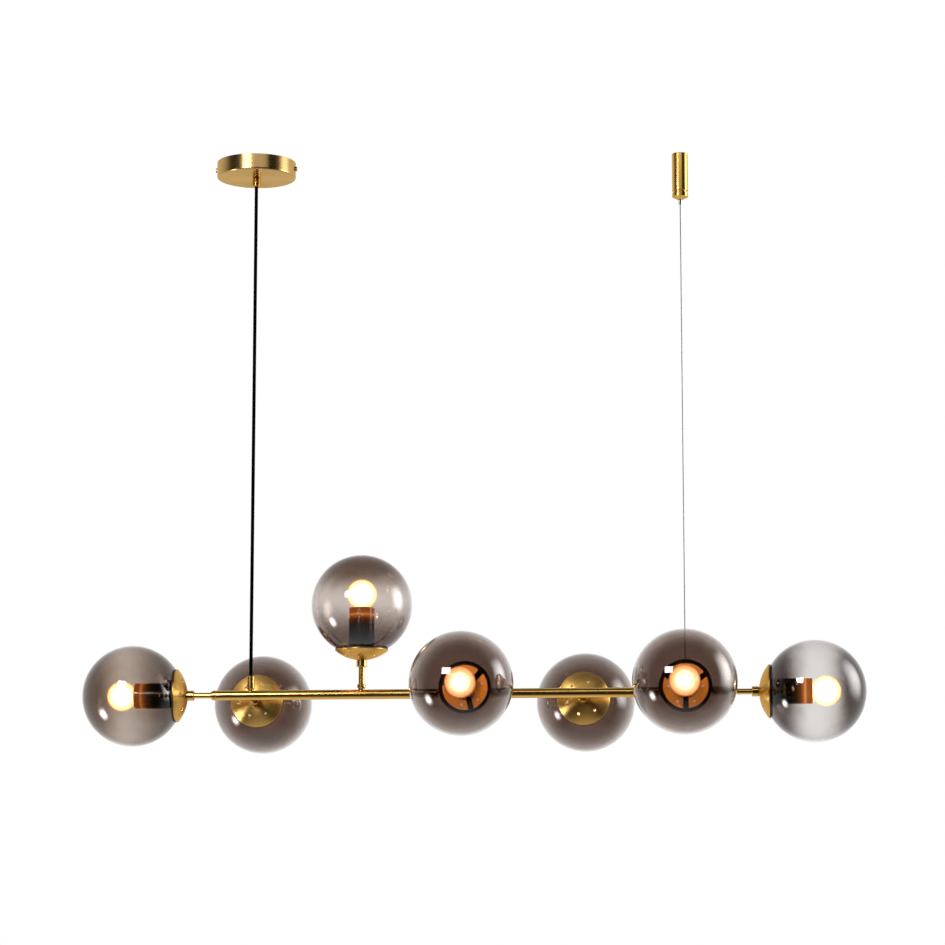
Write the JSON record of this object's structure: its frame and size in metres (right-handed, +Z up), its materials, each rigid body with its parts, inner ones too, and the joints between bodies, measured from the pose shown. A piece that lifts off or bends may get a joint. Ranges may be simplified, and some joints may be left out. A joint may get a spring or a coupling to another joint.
{
  "type": "linear pendant light",
  "caption": "Linear pendant light: smoked glass globes on short arms round a horizontal brass bar, hung from a canopy by a cord and from an anchor by a steel wire.",
  "frame": {"origin": "middle of the canopy bracket's ceiling face", "axes": "+Z up into the ceiling, +X along the bar from the cord to the steel wire, -Y towards the viewer"},
  "size_m": [1.163, 0.48, 0.89],
  "materials": {
    "satin_brass": "satin brushed and lacquered",
    "zinc_steel": "zinc plated",
    "bright_steel": "nickel plated",
    "wire_rope": "stranded steel",
    "cord_sheath": "matt black sheath",
    "lead_insulation": "insulated leads",
    "terminal_plastic": "moulded",
    "black_spring_steel": "blackened",
    "black_rubber": "matt",
    "contact_brass": "bare",
    "black_phenolic": "glossy moulded",
    "smoked_glass": "smoked, half mirrored",
    "lit_bulb_glass": "lit warm white",
    "nickel_base": "nickel plated"
  },
  "bodies": {
    "ceiling_fittings": {"canopy": "satin_brass", "canopy_bracket": "zinc_steel", "canopy_screws": "satin_brass", "canopy_cord_grip": "satin_brass", "canopy_grip_nut": "zinc_steel", "terminal_block": "terminal_plastic", "supply_leads": "lead_insulation", "anchor_plug": "zinc_steel", "anchor_barrel": "satin_brass", "anchor_end_nut": "satin_brass"},
    "pendant": {"suspension_cord": "cord_sheath", "suspension_wire": "wire_rope", "bar_cord_grip": "satin_brass", "bar_wire_socket": "satin_brass", "bar_tube": "satin_brass", "bar_end_rings": "satin_brass", "bar_bosses": "satin_brass", "arm_tubes": "satin_brass", "cap_collars": "satin_brass", "holder_nipples": "zinc_steel", "glass_clip_nuts": "zinc_steel", "glass_clips": "black_spring_steel", "glass_gaskets": "black_rubber", "socket_contacts": "contact_brass", "cap_left": "satin_brass", "cap_right": "satin_brass", "cap_top": "satin_brass", "cap_front_left": "satin_brass", "cap_front_right": "satin_brass", "cap_back_left": "satin_brass", "cap_back_right": "satin_brass", "lampholder_left": "black_phenolic", "lampholder_right": "black_phenolic", "lampholder_top": "black_phenolic", "lampholder_front_left": "black_phenolic", "lampholder_front_right": "black_phenolic", "lampholder_back_left": "black_phenolic", "lampholder_back_right": "black_phenolic"},
    "plunger": {"anchor_plunger": "bright_steel"},
    "globe_left": {"globe_left": "smoked_glass"},
    "globe_right": {"globe_right": "smoked_glass"},
    "globe_top": {"globe_top": "smoked_glass"},
    "globe_front_left": {"globe_front_left": "smoked_glass"},
    "globe_front_right": {"globe_front_right": "smoked_glass"},
    "globe_back_left": {"globe_back_left": "smoked_glass"},
    "globe_back_right": {"globe_back_right": "smoked_glass"},
    "bulb_left": {"bulb_glass_left": "lit_bulb_glass", "bulb_base_left": "nickel_base"},
    "bulb_right": {"bulb_glass_right": "lit_bulb_glass", "bulb_base_right": "nickel_base"},
    "bulb_top": {"bulb_glass_top": "lit_bulb_glass", "bulb_base_top": "nickel_base"},
    "bulb_front_left": {"bulb_glass_front_left": "lit_bulb_glass", "bulb_base_front_left": "nickel_base"},
    "bulb_front_right": {"bulb_glass_front_right": "lit_bulb_glass", "bulb_base_front_right": "nickel_base"},
    "bulb_back_left": {"bulb_glass_back_left": "lit_bulb_glass", "bulb_base_back_left": "nickel_base"},
    "bulb_back_right": {"bulb_glass_back_right": "lit_bulb_glass", "bulb_base_back_right": "nickel_base"}
  },
  "joints": [
    {"name": "pendant_sway", "type": "hinge", "parent": "ceiling_fittings", "child": "pendant", "pos_m": [0, 0, -0.037], "axis": [0.9979, 0, -0.0641], "range_deg": [-20, 20]},
    {"name": "wire_release", "type": "slide", "parent": "ceiling_fittings", "child": "plunger", "axis": [0, 0, 1], "range_m": [0, 0.003], "stiffness_N_per_m": 900, "springref_m": -0.002},
    {"name": "globe_left_off", "type": "slide", "parent": "pendant", "child": "globe_left", "axis": [-1, 0, 0], "range_m": [0, 0.11]},
    {"name": "globe_right_off", "type": "slide", "parent": "pendant", "child": "globe_right", "axis": [1, 0, 0], "range_m": [0, 0.11]},
    {"name": "globe_top_off", "type": "slide", "parent": "pendant", "child": "globe_top", "axis": [0, 0, 1], "range_m": [0, 0.11]},
    {"name": "globe_front_left_off", "type": "slide", "parent": "pendant", "child": "globe_front_left", "axis": [0, -1, 0], "range_m": [0, 0.11]},
    {"name": "globe_front_right_off", "type": "slide", "parent": "pendant", "child": "globe_front_right", "axis": [0, -1, 0], "range_m": [0, 0.11]},
    {"name": "globe_back_left_off", "type": "slide", "parent": "pendant", "child": "globe_back_left", "axis": [0, 1, 0], "range_m": [0, 0.11]},
    {"name": "globe_back_right_off", "type": "slide", "parent": "pendant", "child": "globe_back_right", "axis": [0, 1, 0], "range_m": [0, 0.11]},
    {"name": "bulb_left_out", "type": "slide", "parent": "pendant", "child": "bulb_left", "axis": [-1, 0, 0], "range_m": [0, 0.02]},
    {"name": "bulb_right_out", "type": "slide", "parent": "pendant", "child": "bulb_right", "axis": [1, 0, 0], "range_m": [0, 0.02]},
    {"name": "bulb_top_out", "type": "slide", "parent": "pendant", "child": "bulb_top", "axis": [0, 0, 1], "range_m": [0, 0.02]},
    {"name": "bulb_front_left_out", "type": "slide", "parent": "pendant", "child": "bulb_front_left", "axis": [0, -1, 0], "range_m": [0, 0.02]},
    {"name": "bulb_front_right_out", "type": "slide", "parent": "pendant", "child": "bulb_front_right", "axis": [0, -1, 0], "range_m": [0, 0.02]},
    {"name": "bulb_back_left_out", "type": "slide", "parent": "pendant", "child": "bulb_back_left", "axis": [0, 1, 0], "range_m": [0, 0.02]},
    {"name": "bulb_back_right_out", "type": "slide", "parent": "pendant", "child": "bulb_back_right", "axis": [0, 1, 0], "range_m": [0, 0.02]}
  ]
}
